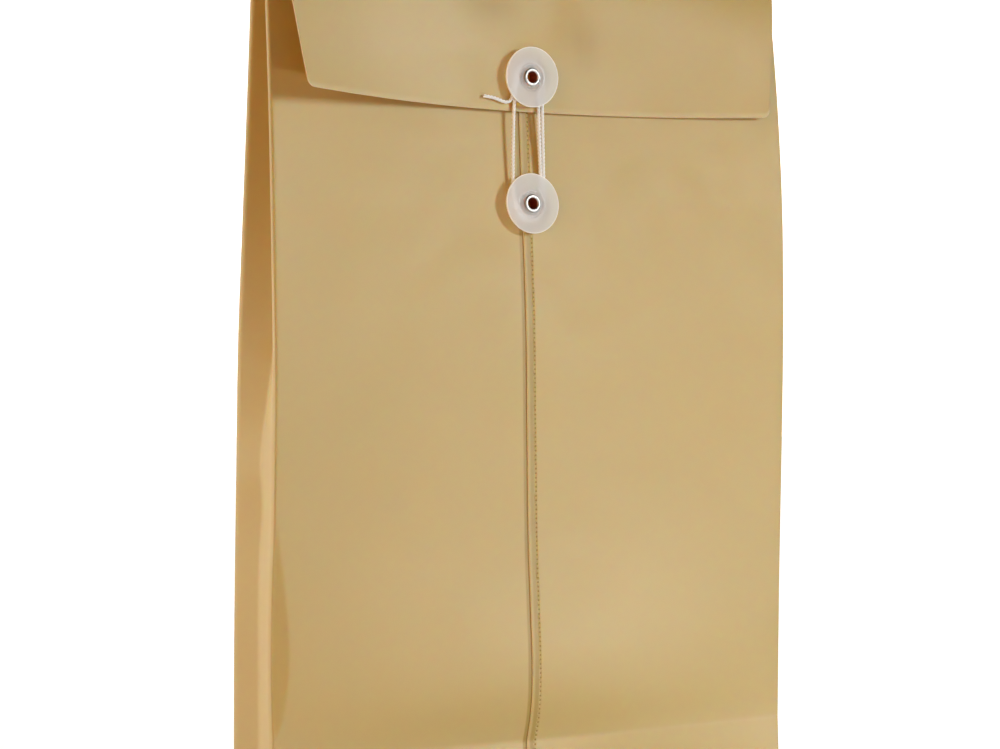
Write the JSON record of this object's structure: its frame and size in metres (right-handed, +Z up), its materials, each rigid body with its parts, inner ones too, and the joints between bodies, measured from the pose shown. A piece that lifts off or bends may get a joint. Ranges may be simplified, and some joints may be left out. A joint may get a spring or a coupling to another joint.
{
  "type": "string tie envelope",
  "caption": "Tan gusseted document envelope with a block bottom and a fold-over flap, closed by a string wound round button discs.",
  "frame": {"origin": "middle of the base, on the floor", "axes": "+Z up towards the flap crease, -Y out of the front with the buttons, +X to the right seen from the front"},
  "size_m": [0.24, 0.0503, 0.3485],
  "materials": {
    "sheet": "satin tan polypropylene sheet",
    "disc": "translucent white plastic",
    "eyelet": "bright nickel plate",
    "washer": "plain white plastic",
    "string": "off-white twisted cotton"
  },
  "bodies": {
    "pouch": {"back_panel": "sheet", "left_gusset_back": "sheet", "left_gusset_front": "sheet", "right_gusset_back": "sheet", "right_gusset_front": "sheet", "bottom_back_flap": "sheet", "bottom_front_flap": "sheet", "bottom_left_tuck": "sheet", "bottom_right_tuck": "sheet"},
    "front": {"front_panel_left": "sheet", "front_panel_right": "sheet", "lower_eyelet": "eyelet", "lower_backing_washer": "washer", "tie_string": "string", "string_knot": "string"},
    "closure_flap": {"flap": "sheet", "upper_eyelet": "eyelet", "upper_backing_washer": "washer"},
    "upper_button": {"upper_button_disc": "disc"},
    "lower_button": {"lower_button_disc": "disc"}
  },
  "joints": [
    {"name": "flap_hinge", "type": "hinge", "parent": "pouch", "child": "closure_flap", "pos_m": [0, 0.00247, 0.346], "axis": [-1, 0, 0], "range_deg": [0, 180], "deforming": ["tie_string"]},
    {"name": "mouth_swing", "type": "hinge", "parent": "pouch", "child": "front", "pos_m": [0, -0.02075, 0.00105], "axis": [1, 0, 0], "range_deg": [0, 4.5], "deforming": ["left_gusset_back", "left_gusset_front", "right_gusset_back", "right_gusset_front"]},
    {"name": "upper_disc_spin", "type": "hinge", "parent": "closure_flap", "child": "upper_button", "pos_m": [-0.005, -0.01733, 0.292], "axis": [0, -1, -0.0058], "continuous": true},
    {"name": "lower_disc_spin", "type": "hinge", "parent": "front", "child": "lower_button", "pos_m": [-0.005, -0.01776, 0.24], "axis": [0, -0.998, 0.0638], "continuous": true}
  ],
  "couplings": [
    {"joint": "mouth_swing", "follows": "flap_hinge", "ratio": 0.025}
  ]
}
